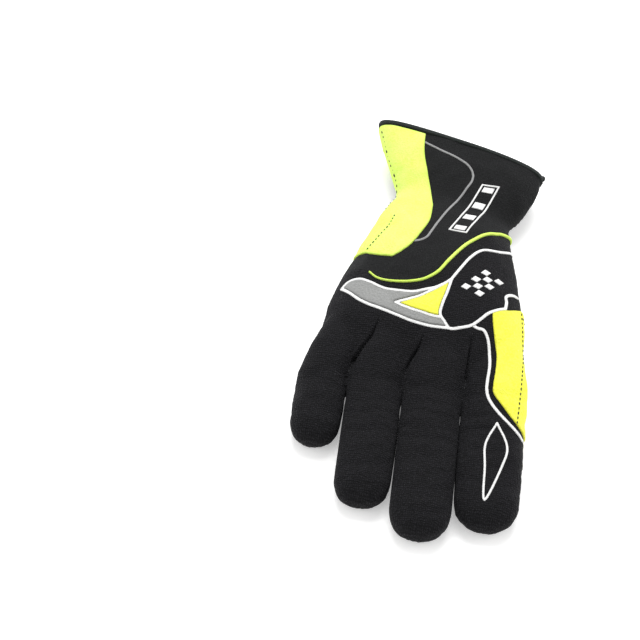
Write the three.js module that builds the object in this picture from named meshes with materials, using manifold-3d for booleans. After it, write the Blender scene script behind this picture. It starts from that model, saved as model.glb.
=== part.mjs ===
// A right-hand karting glove, lying palm down with its thumb folded under the palm.
// Millimetres, +Z up. The fingers point to -Y, the hand goes in at the +Y end, and the thumb's side is +X.
// The glove is a hollow shell of lofted tubes, cut along its seams into the panels that it is sewn from.
// Trim and prints are thin pieces that lie just clear of that shell.

import * as THREE from "three";
import Module from "manifold-3d";
import { mergeVertices } from "three/addons/utils/BufferGeometryUtils.js";

const wasm = await Module();
wasm.setup();

// Cloth and clearances
const wall = 1.8; // padded knit and lined suede
const seamGap = 0.3; // between two panels, and under what lies on a panel
const fingerGap = 0.9; // between two free fingers
const trimThickness = 0.9; // sewn-on panels of the strap, the knuckles and the first finger
const printThickness = 0.6; // raised print
const bindingThickness = 0.8;
const bindingWidth = 4.5;

// The hand
const littleWidth = 25;
const ringWidth = 28;
const middleWidth = 30;
const indexWidth = 31.2;
const littleLength = 38; // fingers are measured from the line of their crotches
const ringLength = 68;
const middleLength = 80;
const indexLength = 70;
const fingerHeight = 17.5;
const fingerLean = 3.2; // degrees towards the thumb's side
const handLength = 121; // crotches to wrist
const backHeight = 34;
const palmHeight = 14.5; // underside of the palm above the surface, over the thumb
const palmInset = 7; // the palm's edge, inside the outer fingers' edges
const thumbWidth = 29;
const thumbHeight = 12.4;

// The wrist and cuff
const wristWidth = 66;
const wristHeight = 25;
const cuffWidth = 100;
const cuffHeight = 29;
const cuffLength = 40;
const cuffSlant = -13; // degrees, the line of the cuff's edge against X
const cuffFloor = seamGap + bindingThickness + 0.5; // keeps the binding off the surface

// Raised lines
const outlineWidth = 1.7; // white print
const trimLineWidth = 1.6; // grey print beside the strap
const pipingWidth = 2.4;

const fingers = [
  { width: littleWidth, length: littleLength },
  { width: ringWidth, length: ringLength },
  { width: middleWidth, length: middleLength },
  { width: indexWidth, length: indexLength },
];
const fingerSpan = fingers.reduce((sum, f) => sum + f.width, 0) + fingerGap * (fingers.length - 1);
const palmWidth = fingerSpan - 2 * palmInset;
const bodyLength = handLength + cuffLength;

const squareAcross = 2.6; // sections: 2 is an ellipse, and more is squarer
const squareUp = 2.2;
const bodySides = 24;
const fingerSides = 14;
const hollowSides = 12;
const sliver = 0.03; // faces closer to their neighbours' planes than this are merged

// A table: each row becomes an object with the named columns.
function table(columns, rows) {
  return rows.map((row) => Object.fromEntries(columns.map((column, i) => [column, row[i]])));
}

// The palm and cuff as one tube, from the crotches to the cuff's edge. hand and cuff say how far along a
// row stands, as shares of their lengths, and shift how far its middle lies towards the thumb's side, as a
// share of its width. droop and lift lower its edges and raise its little-finger edge, as shares of
// backHeight. seam is how far the side seam lies under the middle, as a share of half the height.
const body = table(
  ["hand", "cuff", "width", "shift", "slant", "top", "base", "droop", "lift", "seam"],
  [
    [0, 0, palmWidth * 0.96, -0.01, 0, backHeight * 0.44, backHeight * 0.015, 0.03, 0, 0.55],
    [0.14, 0, palmWidth, 0, 0, backHeight * 0.7, palmHeight * 0.17, 0.09, 0, 0.5],
    [0.28, 0, palmWidth * 1.02, 0.002, 0, backHeight * 0.89, palmHeight * 0.88, 0.18, 0, 0.4],
    [0.42, 0, palmWidth * 0.985, 0.005, -1, backHeight * 0.98, palmHeight, 0.24, 0, 0.35],
    [0.58, 0, palmWidth * 0.89, 0.013, -2, backHeight, palmHeight, 0.24, 0, 0.35],
    [0.78, 0, palmWidth * 0.75, 0.034, -5, backHeight * 0.93, palmHeight * 0.92, 0.18, 0.03, 0.35],
    [0.91, 0, wristWidth * 1.06, 0.057, -7, wristHeight * 1.1, palmHeight * 0.45, 0.12, 0.06, 0.3],
    [1, 0, wristWidth, 0.079, -8.5, wristHeight, cuffFloor * 1.2, 0.09, 0.09, 0.2],
    [1, 0.33, cuffWidth * 0.79, 0.08, -10, wristHeight * 1.08, cuffFloor, 0.06, 0.12, 0.1],
    [1, 0.67, cuffWidth * 0.91, 0.057, -12, cuffHeight, cuffFloor, 0.045, 0.15, 0.1],
    [1, 1, cuffWidth, 0.03, cuffSlant, cuffHeight, cuffFloor, 0.03, 0.18, 0.1],
  ],
).map((row) => ({
  ...row,
  y: row.hand * handLength + row.cuff * cuffLength,
  centre: row.shift * row.width,
  droop: row.droop * backHeight,
  lift: row.lift * backHeight,
}));

// Where the tube's rings stand, counted in rows: closer where it bends most.
const bodyPlaces = [0, 0.5, 1, 1.5, 2, 3, 4, 5, 5.5, 6, 6.5, 7, 7.5, 8, 9, 10];

// A finger's tube. behind is 1 at its root inside the palm's tube and 0 at the crotch; wide and high are
// shares of the finger's width and height, and the height at the root comes from the palm's tube.
const rootReach = handLength * 0.29;
const rootSpread = 0.88; // the roots stand closer together than the crotches
const rootDrift = 0.018 * palmWidth; // and further to the thumb's side
const rootDepth = 0.07 * backHeight; // under the palm tube's skin
const fingerRows = table(
  ["behind", "forward", "wide", "high"],
  [
    [1, 0, 0.7, 1.3],
    [0.75, 0, 0.84, 1.3],
    [0.5, 0, 0.94, 1.28],
    [0.25, 0, 0.99, 1.23],
    [0, 0, 1, 1.18],
    [0, 0.33, 1, 1.1],
    [0, 0.67, 0.99, 1.04],
    [0, 1, 0.97, 0.98],
  ],
);
const tipShare = 0.58; // length of a rounded tip, as a share of the tube's width
const tipAngles = [30, 55, 75];
const fingerSeam = 0.22 * fingerHeight; // height of the seam between a finger's back and its palm side

// The thumb's middle line, from its root inside the palm to its tip, in shares of the hand.
const thumbRows = table(
  ["across", "along", "height", "wide", "high"],
  [
    [0.5, 0.86, palmHeight * 1.3, 0.9, 0.9],
    [0.44, 0.74, palmHeight * 0.98, 1, 1],
    [0.22, 0.59, thumbHeight * 0.53, 1, 1],
    [-0.08, 0.45, thumbHeight * 0.475, 0.98, 1],
    [-0.34, 0.335, thumbHeight * 0.455, 0.9, 0.94],
  ],
);

const radians = THREE.MathUtils.degToRad;
const mix = THREE.MathUtils.lerp;
const signedPower = (value, power) => Math.sign(value) * Math.abs(value) ** power;

// Every column of a table on a smooth curve through its rows, at a place counted in rows.
function sectionAt(rows, place) {
  const last = rows.length - 1;
  const i = Math.min(Math.floor(place), last - 1);
  const t = place - i;
  const near = [-1, 0, 1, 2].map((step) => rows[Math.min(Math.max(i + step, 0), last)]);
  return Object.fromEntries(Object.keys(rows[0]).map((column) => {
    const [a, b, c, d] = near.map((row) => row[column]);
    const bend = 2 * a - 5 * b + 4 * c - d + t * (3 * (b - c) + d - a);
    return [column, b + 0.5 * t * (c - a + t * bend)];
  }));
}

// The body's section that passes y, by halving.
function bodyAt(y) {
  let [low, high] = [0, body.length - 1];
  for (let i = 0; i < 24; i++) {
    const half = (low + high) / 2;
    if (sectionAt(body, half).y < y) low = half;
    else high = half;
  }
  return { ...sectionAt(body, low), y };
}

// How far a section's outer parts are raised or lowered, at a share of its half width.
function arch(row, across) {
  const share = THREE.MathUtils.clamp(across, -1, 1);
  return row.lift * Math.max(0, -share) ** 2 - row.droop * share ** 4;
}

// A point in plan, from shares of the body's half width and of its length from the crotches.
function onBody(across, along) {
  const row = bodyAt(along * bodyLength);
  const reach = (across * row.width) / 2;
  const slant = radians(row.slant);
  return new THREE.Vector2(row.centre + reach * Math.cos(slant), row.y + reach * Math.sin(slant));
}

// Points round an oval section, from half width and rise of 1. A hollow gets fewer.
function ovalPoints(offset, outerSides) {
  const sides = offset < 0 ? hollowSides : outerSides;
  return Array.from({ length: sides }, (_, k) => {
    const angle = (2 * Math.PI * k) / sides;
    return {
      across: signedPower(Math.cos(angle), 2 / squareAcross),
      up: signedPower(Math.sin(angle), 2 / squareUp),
    };
  });
}

// Closed skin over rings of points, with both ends capped.
function skin(rings) {
  const sides = rings[0].length;
  const positions = rings.flat().flatMap((p) => [p.x, p.y, p.z]);
  const index = [];
  for (let r = 0; r + 1 < rings.length; r++) {
    for (let k = 0; k < sides; k++) {
      const [a, b] = [r * sides + k, r * sides + ((k + 1) % sides)];
      index.push(a, b, b + sides, a, b + sides, a + sides);
    }
  }
  for (const [r, turned] of [[0, true], [rings.length - 1, false]]) {
    const hub = positions.length / 3;
    const sum = rings[r].reduce((total, p) => total.add(p), new THREE.Vector3());
    positions.push(...sum.divideScalar(sides).toArray());
    for (let k = 0; k < sides; k++) {
      const [a, b] = [r * sides + k, r * sides + ((k + 1) % sides)];
      index.push(hub, turned ? b : a, turned ? a : b);
    }
  }
  const geometry = new THREE.BufferGeometry();
  geometry.setAttribute("position", new THREE.Float32BufferAttribute(positions, 3));
  geometry.setIndex(index);
  return geometry;
}

// A geometry as a solid, turned right side out.
function solidOf(geometry) {
  const whole = mergeVertices(geometry, 1e-4);
  const vertProperties = new Float32Array(whole.attributes.position.array);
  const triVerts = new Uint32Array(whole.index.array);
  const made = new wasm.Manifold(new wasm.Mesh({ numProp: 3, vertProperties, triVerts }));
  if (made.volume() > 0) return made;
  triVerts.reverse();
  return new wasm.Manifold(new wasm.Mesh({ numProp: 3, vertProperties, triVerts }));
}

// The sum of solids, or of plan areas.
const joined = (parts) => parts.reduce((sum, part) => sum.add(part));

// The largest of the bodies that a cut leaves, with its slivers simplified away; the others are crumbs.
function largest(solid) {
  const bodies = solid.simplify(sliver).decompose();
  return bodies.reduce((best, one) => (one.volume() > best.volume() ? one : best));
}

// The palm's and cuff's tube, grown by offset. overrun carries it on past the cuff's edge.
function bodyTube(offset, overrun = 0) {
  const rings = [];
  for (const place of bodyPlaces.filter((p) => offset >= 0 || Number.isInteger(p))) {
    const row = sectionAt(body, place);
    if (place === 0) row.y -= offset;
    const middle = (row.top + row.base) / 2;
    const rise = (row.top - row.base) / 2 + offset;
    const half = row.width / 2 + offset;
    const slant = radians(row.slant);
    rings.push(ovalPoints(offset, bodySides).map(({ across, up }) => new THREE.Vector3(
      row.centre + half * across * Math.cos(slant),
      row.y + half * across * Math.sin(slant),
      Math.max(middle + rise * up + arch(row, across), -offset, 0),
    )));
  }
  const onward = new THREE.Vector3(-Math.sin(radians(cuffSlant)), Math.cos(radians(cuffSlant)), 0);
  if (overrun > 0) {
    rings.push(rings.at(-1).map((p) => p.clone().addScaledVector(onward, overrun)));
  }
  return solidOf(skin(rings));
}

// A tube with a rounded tip over stations of { at, heading, half, middle, rise }.
function fingerSkin(stations, offset) {
  const sections = stations.map((s) => ({ ...s, half: s.half + offset, rise: s.rise + offset }));
  const tip = sections.at(-1);
  const tipLength = 2 * stations.at(-1).half * tipShare + offset;
  for (const angle of tipAngles) {
    const shrink = Math.cos(radians(angle)) ** 0.8;
    sections.push({
      ...tip,
      at: tip.at.clone().addScaledVector(tip.heading, tipLength * Math.sin(radians(angle))),
      half: tip.half * shrink,
      rise: tip.rise * shrink,
      middle: tip.middle - (1 - shrink) * tip.rise * 0.3,
    });
  }
  const oval = ovalPoints(offset, fingerSides);
  return solidOf(skin(sections.map((s) => oval.map(({ across, up }) => new THREE.Vector3(
    s.at.x - s.half * across * s.heading.y,
    s.at.y + s.half * across * s.heading.x,
    Math.max(s.middle + s.rise * up, -offset, 0),
  )))));
}

// Stations of the four fingers. They stand side by side at the crotches, and lean together.
function fingerStations() {
  const heading = new THREE.Vector2(Math.sin(radians(fingerLean)), -Math.cos(radians(fingerLean)));
  const rootRow = bodyAt(rootReach);
  let edge = body[0].centre - fingerSpan / 2;
  return fingers.map(({ width, length }) => {
    const crotch = new THREE.Vector2(edge + width / 2, 0);
    edge += width + fingerGap;
    const root = new THREE.Vector2(crotch.x * rootSpread + rootDrift, rootReach);
    const across = (root.x - rootRow.centre) / (rootRow.width / 2);
    const thick = (rootRow.top - rootRow.base) * (1 - Math.abs(across) ** squareAcross) ** (1 / squareUp);
    const rootMiddle = (rootRow.top + rootRow.base) / 2 + arch(rootRow, across);
    const straight = length - width * tipShare;
    return fingerRows.map((row) => {
      const top = mix(fingerHeight * row.high, rootMiddle + thick / 2 - rootDepth, row.behind ** 0.8);
      const base = mix(-0.05 * fingerHeight, rootMiddle - thick / 2 + rootDepth, row.behind);
      return {
        at: crotch.clone().lerp(root, row.behind).addScaledVector(heading, straight * row.forward),
        heading,
        half: (width * row.wide) / 2,
        middle: (top + base) / 2,
        rise: (top - base) / 2,
      };
    });
  });
}

// Stations of the thumb, along its middle line.
function thumbStations() {
  const stations = [];
  for (let place = 0; place <= thumbRows.length - 1; place += 0.5) {
    const row = sectionAt(thumbRows, place);
    stations.push({
      at: onBody(row.across, (row.along * handLength) / bodyLength),
      half: (thumbWidth * row.wide) / 2,
      middle: row.height,
      rise: (thumbHeight * row.high) / 2,
    });
  }
  stations.forEach((s, i) => {
    const before = stations[Math.max(i - 1, 0)];
    const after = stations[Math.min(i + 1, stations.length - 1)];
    s.heading = after.at.clone().sub(before.at).normalize();
  });
  return stations;
}

const fingerLines = fingerStations();
const thumbLine = thumbStations();

// The whole hand without its thumb, grown by offset.
function hand(offset, overrun = 0) {
  return joined([bodyTube(offset, overrun), ...fingerLines.map((line) => fingerSkin(line, offset))]);
}

const overrun = cuffLength / 4;
const handHollow = hand(-wall, overrun);
const handShell = hand(0).subtract(handHollow);
const thumbHollow = fingerSkin(thumbLine, -wall);
const thumbShell = fingerSkin(thumbLine, 0).subtract(thumbHollow).subtract(hand(seamGap));

// A slab that follows sheets of points, from each point up to a height far above the glove.
const sky = backHeight * 3;
function slabOver(rows) {
  const rings = rows.map((row) => [
    ...row,
    ...row.toReversed().map((p) => new THREE.Vector3(p.x, p.y, sky)),
  ]);
  return solidOf(skin(rings));
}

// Everything over the side seams of the palm, the cuff and the fingers, raised by a clearance.
function overSeam(clearance) {
  const shares = [-2, -1, -0.9, -0.75, -0.5, 0, 0.5, 0.75, 0.9, 1, 2];
  const rows = [1, 0.5].map((back) => shares.map((share) => (
    new THREE.Vector3((share * palmWidth) / 2, -back * middleLength * 1.2, fingerSeam + clearance)
  )));
  for (const place of bodyPlaces) {
    const row = sectionAt(body, place);
    const depth = (row.seam * (row.top - row.base)) / 2;
    const slant = radians(row.slant);
    rows.push(shares.map((share) => new THREE.Vector3(
      row.centre + ((share * row.width) / 2) * Math.cos(slant),
      row.y + ((share * row.width) / 2) * Math.sin(slant),
      (row.top + row.base) / 2 - depth + arch(row, share) + clearance,
    )));
  }
  const onward = new THREE.Vector3(-Math.sin(radians(cuffSlant)), Math.cos(radians(cuffSlant)), 0);
  rows.push(rows.at(-1).map((p) => p.clone().addScaledVector(onward, cuffWidth)));
  return slabOver(rows);
}

// Plan areas

// A smooth run of plan points through control points.
function curve(points, steps = 4) {
  return new THREE.SplineCurve(points).getPoints(steps * (points.length - 1));
}

const bodyCurve = (shares, steps) => curve(shares.map(([across, along]) => onBody(across, along)), steps);

function area(...runs) {
  const points = runs.flat().map((p) => [p.x, p.y]);
  return new wasm.CrossSection([points], "NonZero");
}

// A ribbon along a run of plan points; its width goes from the first to the second value.
function ribbon(points, startWidth, endWidth = startWidth) {
  const last = points.length - 1;
  const sides = [1, -1].map((side) => points.map((p, i) => {
    const along = points[Math.min(i + 1, last)].clone().sub(points[Math.max(i - 1, 0)]).normalize();
    const reach = (side * mix(startWidth, endWidth, i / last)) / 2;
    return new THREE.Vector2(p.x - along.y * reach, p.y + along.x * reach);
  }));
  return area(sides[0], sides[1].toReversed());
}

const grown = (plan, by) => plan.offset(by, "Miter", 2, 0);
const prism = (plan) => plan.extrude(sky);

const aboveSeam = overSeam(seamGap / 2);
const aboveOrOnSeam = overSeam(-seamGap / 2);
const raised = hand(seamGap, overrun);
const raisedByTrim = hand(seamGap + trimThickness, overrun);
const raisedByPrint = hand(seamGap + printThickness, overrun);

// A thin piece over a plan area of the glove's back.
function onBack(plan, outer) {
  return prism(plan).intersect(outer).subtract(raised).intersect(aboveSeam);
}

// The cuff's edge: everything past a line that runs along it, a distance in from it.
function pastCuffEdge(inset) {
  const row = body.at(-1);
  const slant = radians(cuffSlant);
  const inward = new THREE.Vector2(Math.sin(slant), -Math.cos(slant));
  const line = new THREE.Vector2(row.centre, row.y).addScaledVector(inward, inset);
  const side = new THREE.Vector2(-inward.y, inward.x).multiplyScalar(cuffWidth);
  const far = inward.clone().multiplyScalar(-cuffLength);
  const corners = [line.clone().add(side), line.clone().sub(side)];
  return area(corners, corners.toReversed().map((p) => p.clone().add(far)));
}

// Seams

const pipingLine = bodyCurve([
  [-0.67, 0.352], [-0.57, 0.333], [-0.45, 0.328], [-0.33, 0.333], [-0.21, 0.342], [-0.09, 0.362],
  [0.03, 0.394], [0.12, 0.447], [0.22, 0.496], [0.33, 0.539], [0.49, 0.581], [0.67, 0.606], [0.93, 0.616],
], 2);
const cuffBackArea = area(
  [onBody(-1.8, 0.4), onBody(-1, 0.38)],
  pipingLine,
  [onBody(1.8, 0.62), onBody(1.8, 1.3), onBody(-1.8, 1.3)],
);
const cuffPalmArea = area([onBody(-1.8, 0.68), onBody(1.8, 0.68), onBody(1.8, 1.3), onBody(-1.8, 1.3)]);

// One side of a finger in plan, from behind the crotch to where its tip turns in. side is 1 for the thumb's.
function fingerSide(line, side) {
  const [start, end] = [line.find((s) => s.at.y === 0), line.at(-1)];
  const from = start.at.clone().addScaledVector(start.heading, -wall * 1.6);
  const to = end.at.clone().addScaledVector(end.heading, end.half * tipShare);
  const across = new THREE.Vector2(-start.heading.y, start.heading.x).multiplyScalar(side);
  const [near, far] = [0.45 * start.half, start.half + 0.75 * fingerGap];
  return area([
    from.clone().addScaledVector(across, near),
    from.clone().addScaledVector(across, far),
    to.clone().addScaledVector(across, far),
    to.clone().addScaledVector(across, near),
  ]);
}

const fourchetteTop = 0.6 * fingerHeight;
const fourchetteAreas = [0, 1, 2].map((i) => (
  fingerSide(fingerLines[i], 1).add(fingerSide(fingerLines[i + 1], -1))
));
const fourchetteZone = joined(fourchetteAreas.map((plan) => grown(plan, seamGap)));

const backShell = handShell.intersect(aboveSeam).subtract(fourchetteZone.extrude(fourchetteTop + seamGap));
const palmShell = handShell.subtract(aboveOrOnSeam).subtract(thumbHollow);

// Everything over the thumb's own side seam, raised by a clearance.
function overThumbSeam(clearance) {
  const [first, last] = [thumbLine[0], thumbLine.at(-1)].map((s, i) => ({
    ...s,
    at: s.at.clone().addScaledVector(s.heading, (i ? 1 : -1) * thumbWidth),
  }));
  return slabOver([first, ...thumbLine, last].map((s) => [-1.2, 0, 1.2].map((share) => new THREE.Vector3(
    s.at.x - s.half * share * s.heading.y,
    s.at.y + s.half * share * s.heading.x,
    s.middle + clearance,
  ))));
}

// Trim and prints

const clearOfBinding = grown(pastCuffEdge(bindingWidth), seamGap);

const strapArea = area(
  bodyCurve([
    [-0.43, 1.06], [-0.44, 0.989], [-0.49, 0.902], [-0.49, 0.818], [-0.43, 0.736], [-0.31, 0.685],
  ], 2),
  bodyCurve([[-0.28, 0.66], [-0.26, 0.62], [-0.31, 0.544], [-0.38, 0.491], [-0.46, 0.45]], 2),
  bodyCurve([[-0.53, 0.431], [-0.66, 0.43], [-0.87, 0.424], [-1.5, 0.42]], 1),
  [onBody(-1.8, 0.42), onBody(-1.8, 1.06)],
).subtract(clearOfBinding);

const strapEndArea = area(
  [onBody(-1.8, 0.93), onBody(-0.62, 0.9), onBody(-0.5, 0.95), onBody(-0.44, 1.05), onBody(-1.8, 1.05)],
).subtract(clearOfBinding);

const strapTrimArea = ribbon(
  bodyCurve([
    [-0.6, 0.951], [-0.3, 0.925], [-0.04, 0.907], [0.1, 0.889], [0.17, 0.855], [0.16, 0.81], [0.11, 0.77],
    [-0.03, 0.681], [-0.14, 0.61], [-0.18, 0.56], [-0.22, 0.53], [-0.3, 0.515], [-0.42, 0.5],
  ], 2),
  trimLineWidth,
).subtract(grown(strapArea, seamGap));

const pipingArea = ribbon(pipingLine, pipingWidth * 0.5, pipingWidth);

const bandTop = bodyCurve([
  [-0.88, 0.278], [-0.82, 0.303], [-0.73, 0.317], [-0.63, 0.313], [-0.4, 0.294], [-0.2, 0.3], [-0.06, 0.318],
  [0.04, 0.332], [0.2, 0.376],
], 2);
const bandBase = bodyCurve([
  [-0.88, 0.278], [-0.79, 0.266], [-0.67, 0.246], [-0.35, 0.215], [-0.14, 0.196], [0.06, 0.189],
  [0.25, 0.187],
], 2);
const fieldBase = bodyCurve([
  [0.25, 0.187], [0.32, 0.194], [0.44, 0.214], [0.53, 0.243], [0.62, 0.278], [0.77, 0.305],
], 2);
const fieldStep = bodyCurve([
  [0.77, 0.305], [0.79, 0.331], [0.785, 0.355], [0.85, 0.367], [0.93, 0.384],
], 1);
const fieldTop = bodyCurve([
  [0.97, 0.539], [0.75, 0.529], [0.52, 0.522], [0.38, 0.477], [0.2, 0.376],
], 2);
const fieldSide = bodyCurve([
  [0.2, 0.376], [0.17, 0.324], [0.14, 0.273], [0.14, 0.233], [0.25, 0.187],
], 2);
const insertTop = bodyCurve([[-0.32, 0.252], [-0.09, 0.295], [0.09, 0.344], [0.2, 0.376]], 2);
const insertBase = bodyCurve([[-0.32, 0.252], [-0.16, 0.238], [0.06, 0.225], [0.14, 0.215]], 2);

const outlineArea = joined(
  [bandTop, bandBase, fieldBase, fieldStep, fieldTop, fieldSide, insertTop, insertBase]
    .map((run) => ribbon(run, outlineWidth)),
);
const insideOutline = grown(outlineArea, seamGap);
const insertWhole = area(insertTop, fieldSide.slice(1, -2), insertBase.toReversed());
const insertArea = insertWhole.subtract(insideOutline);
const bandArea = area(bandTop, fieldSide, bandBase.toReversed())
  .subtract(insertWhole)
  .subtract(insideOutline);

const indexOutlineArea = ribbon(
  bodyCurve([
    [0.47, 0.222], [0.58, 0.22], [0.63, 0.196], [0.66, 0.15], [0.71, 0.094], [0.735, 0.038], [0.76, 0],
    [0.8, -0.034], [0.89, -0.065], [1, -0.095], [1.2, -0.14],
  ], 2),
  outlineWidth,
).subtract(insideOutline);

const indexPanelArea = area(
  bodyCurve([
    [0.66, 0.285], [0.67, 0.24], [0.7, 0.192], [0.75, 0.136], [0.78, 0.079], [0.81, 0.023], [0.84, -0.003],
    [0.89, -0.033], [0.99, -0.07], [1.25, -0.135],
  ], 2),
  [onBody(1.5, -0.135), onBody(1.5, 0.34), onBody(0.96, 0.34), onBody(0.8, 0.3)],
).subtract(grown(indexOutlineArea, seamGap)).subtract(insideOutline);

// The binding wraps the cuff's edge on both of its sides.
const bindingReach = seamGap + bindingThickness;
const bindingSolid = bodyTube(bindingReach, bindingReach)
  .subtract(bodyTube(-wall - bindingReach, overrun))
  .subtract(bodyTube(seamGap, seamGap).subtract(bodyTube(-wall - seamGap, overrun)))
  .intersect(prism(pastCuffEdge(bindingWidth)));

const colours = {
  knit: 0x1c1c1f,
  suede: 0x3a3836,
  lime: 0xe6f95a,
  yellow: 0xf4f236,
  grey: 0x8e8e8e,
  white: 0xf2f2f0,
  binding: 0x1d2a22,
};

const pieces = [
  ["back_of_hand", backShell.subtract(prism(grown(cuffBackArea, seamGap / 2))), "knit"],
  ["cuff_back", backShell.intersect(prism(grown(cuffBackArea, -seamGap / 2))), "knit"],
  ["palm", palmShell.subtract(prism(grown(cuffPalmArea, seamGap / 2))), "suede"],
  ["cuff_palm", palmShell.intersect(prism(grown(cuffPalmArea, -seamGap / 2))), "knit"],
  ["thumb_back", thumbShell.subtract(overThumbSeam(-seamGap / 2)), "knit"],
  ["thumb_palm", thumbShell.intersect(overThumbSeam(seamGap / 2)), "suede"],
  ...["little", "middle", "index"].map((side, i) => [
    `fourchette_${side}`,
    handShell.intersect(fourchetteAreas[i].extrude(fourchetteTop)).intersect(aboveSeam),
    "knit",
  ]),
  ["cuff_binding", bindingSolid, "binding"],
  ["wrist_strap", onBack(strapArea, raisedByTrim), "lime"],
  ["strap_end", prism(strapEndArea).intersect(raisedByTrim).subtract(raised).subtract(aboveOrOnSeam), "lime"],
  ["strap_trim", onBack(strapTrimArea, raisedByPrint), "grey"],
  ["cuff_piping", onBack(pipingArea, raisedByTrim), "lime"],
  ["knuckle_band", onBack(bandArea, raisedByTrim), "grey"],
  ["knuckle_insert", onBack(insertArea, raisedByTrim), "yellow"],
  ["knuckle_outline", onBack(outlineArea, raisedByPrint), "white"],
  ["index_panel", onBack(indexPanelArea, raisedByTrim), "yellow"],
  ["index_outline", onBack(indexOutlineArea, raisedByPrint), "white"],
];

function meshOf(name, solid, colour) {
  const { vertProperties, triVerts } = largest(solid).getMesh();
  const geometry = new THREE.BufferGeometry();
  geometry.setAttribute("position", new THREE.BufferAttribute(vertProperties, 3));
  geometry.setIndex(new THREE.BufferAttribute(triVerts, 1));
  const material = new THREE.MeshStandardMaterial({ color: colours[colour], roughness: 0.9 });
  const mesh = new THREE.Mesh(geometry, material);
  mesh.name = name;
  return mesh;
}

const glove = new THREE.Group();
pieces.forEach(([name, solid, colour]) => glove.add(meshOf(name, solid, colour)));
const box = new THREE.Box3().setFromObject(glove);
glove.position.set(-(box.min.x + box.max.x) / 2, -(box.min.y + box.max.y) / 2, -box.min.z);
export default glove;
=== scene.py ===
import math

import bpy
import numpy as np
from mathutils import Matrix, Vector, noise
from mathutils.bvhtree import BVHTree


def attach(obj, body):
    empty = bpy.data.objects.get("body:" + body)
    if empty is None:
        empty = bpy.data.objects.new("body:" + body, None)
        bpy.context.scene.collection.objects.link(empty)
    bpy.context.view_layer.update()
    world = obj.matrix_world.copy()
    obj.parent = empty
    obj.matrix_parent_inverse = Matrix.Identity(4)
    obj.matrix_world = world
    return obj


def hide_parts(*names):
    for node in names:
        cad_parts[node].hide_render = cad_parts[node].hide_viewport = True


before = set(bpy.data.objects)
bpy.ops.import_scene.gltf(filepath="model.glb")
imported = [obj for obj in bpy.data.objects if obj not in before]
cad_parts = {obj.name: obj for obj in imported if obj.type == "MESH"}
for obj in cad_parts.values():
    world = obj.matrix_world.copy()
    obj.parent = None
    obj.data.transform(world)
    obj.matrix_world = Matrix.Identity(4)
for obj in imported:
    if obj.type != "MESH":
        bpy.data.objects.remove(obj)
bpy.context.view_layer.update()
root = "root"
mm = 0.001

# The camera stands at the photograph's angle. Metres, in the frame of the glove.
cameraSetup = {"at": (0.0206, -0.4022, 0.5783), "lookAt": (-0.0566, -0.0046, 0.0), "lens": 73.1}


def makeCamera(values):
    data = bpy.data.cameras.new("camera")
    data.lens = values["lens"]
    data.sensor_width = 36
    data.clip_start, data.clip_end = 0.01, 10
    camera = bpy.data.objects.new("camera", data)
    camera.location = values["at"]
    aim = Vector(values["lookAt"]) - Vector(values["at"])
    camera.rotation_euler = aim.to_track_quat("-Z", "Y").to_euler()
    bpy.context.collection.objects.link(camera)
    bpy.context.scene.camera = camera


makeCamera(cameraSetup)
bpy.context.scene.view_settings.view_transform = "Standard"

# The glove's own sizes, in millimetres, counted from the line of the finger crotches.
gloveSize = {
    "fingerWidths": (25, 28, 30, 31.2),
    "fingerLengths": (37.5, 67.2, 79.2, 69.2),
    "fingerGap": 0.9,
    "fingerHeight": 17.5,
    "fingerLean": 3.2,
    "tipShare": 0.52,
    "handLength": 121,
    "cuffLength": 40,
    "backHeight": 34,
    "palmHeight": 14.5,
    "palmInset": 7,
    "thumbWidth": 29,
    "thumbHeight": 12.4,
    "wristWidth": 66,
    "wristHeight": 25,
    "cuffWidth": 100,
    "cuffHeight": 29,
    "cuffFloor": 1.6,
    "squareAcross": 2.6,
    "squareUp": 2.2,
    "inRow": (-0.2126, -47.2557, 0.0),
}
skinSetup = {
    "voxel": 1.1, "smoothing": 10, "spread": 3.2, "spreadOver": 11, "halfGap": 0.03, "wall": 1.5, "overrun": 7,
    "lowestRing": 0.15, "lowestLining": 0.9, "under": 0.25, "rim": 0.8,
}

size = gloveSize
back, under = size["backHeight"], size["palmHeight"]
fingerSpan = sum(size["fingerWidths"]) + 3 * size["fingerGap"]
palmWidth = fingerSpan - 2 * size["palmInset"]
bodyLength = size["handLength"] + size["cuffLength"]
wristW, wristH, cuffW, cuffH, cuffZ = (
    size[k] for k in ("wristWidth", "wristHeight", "cuffWidth", "cuffHeight", "cuffFloor"))
lean = math.radians(size["fingerLean"])
heading = np.array([math.sin(lean), -math.cos(lean)])

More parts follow.
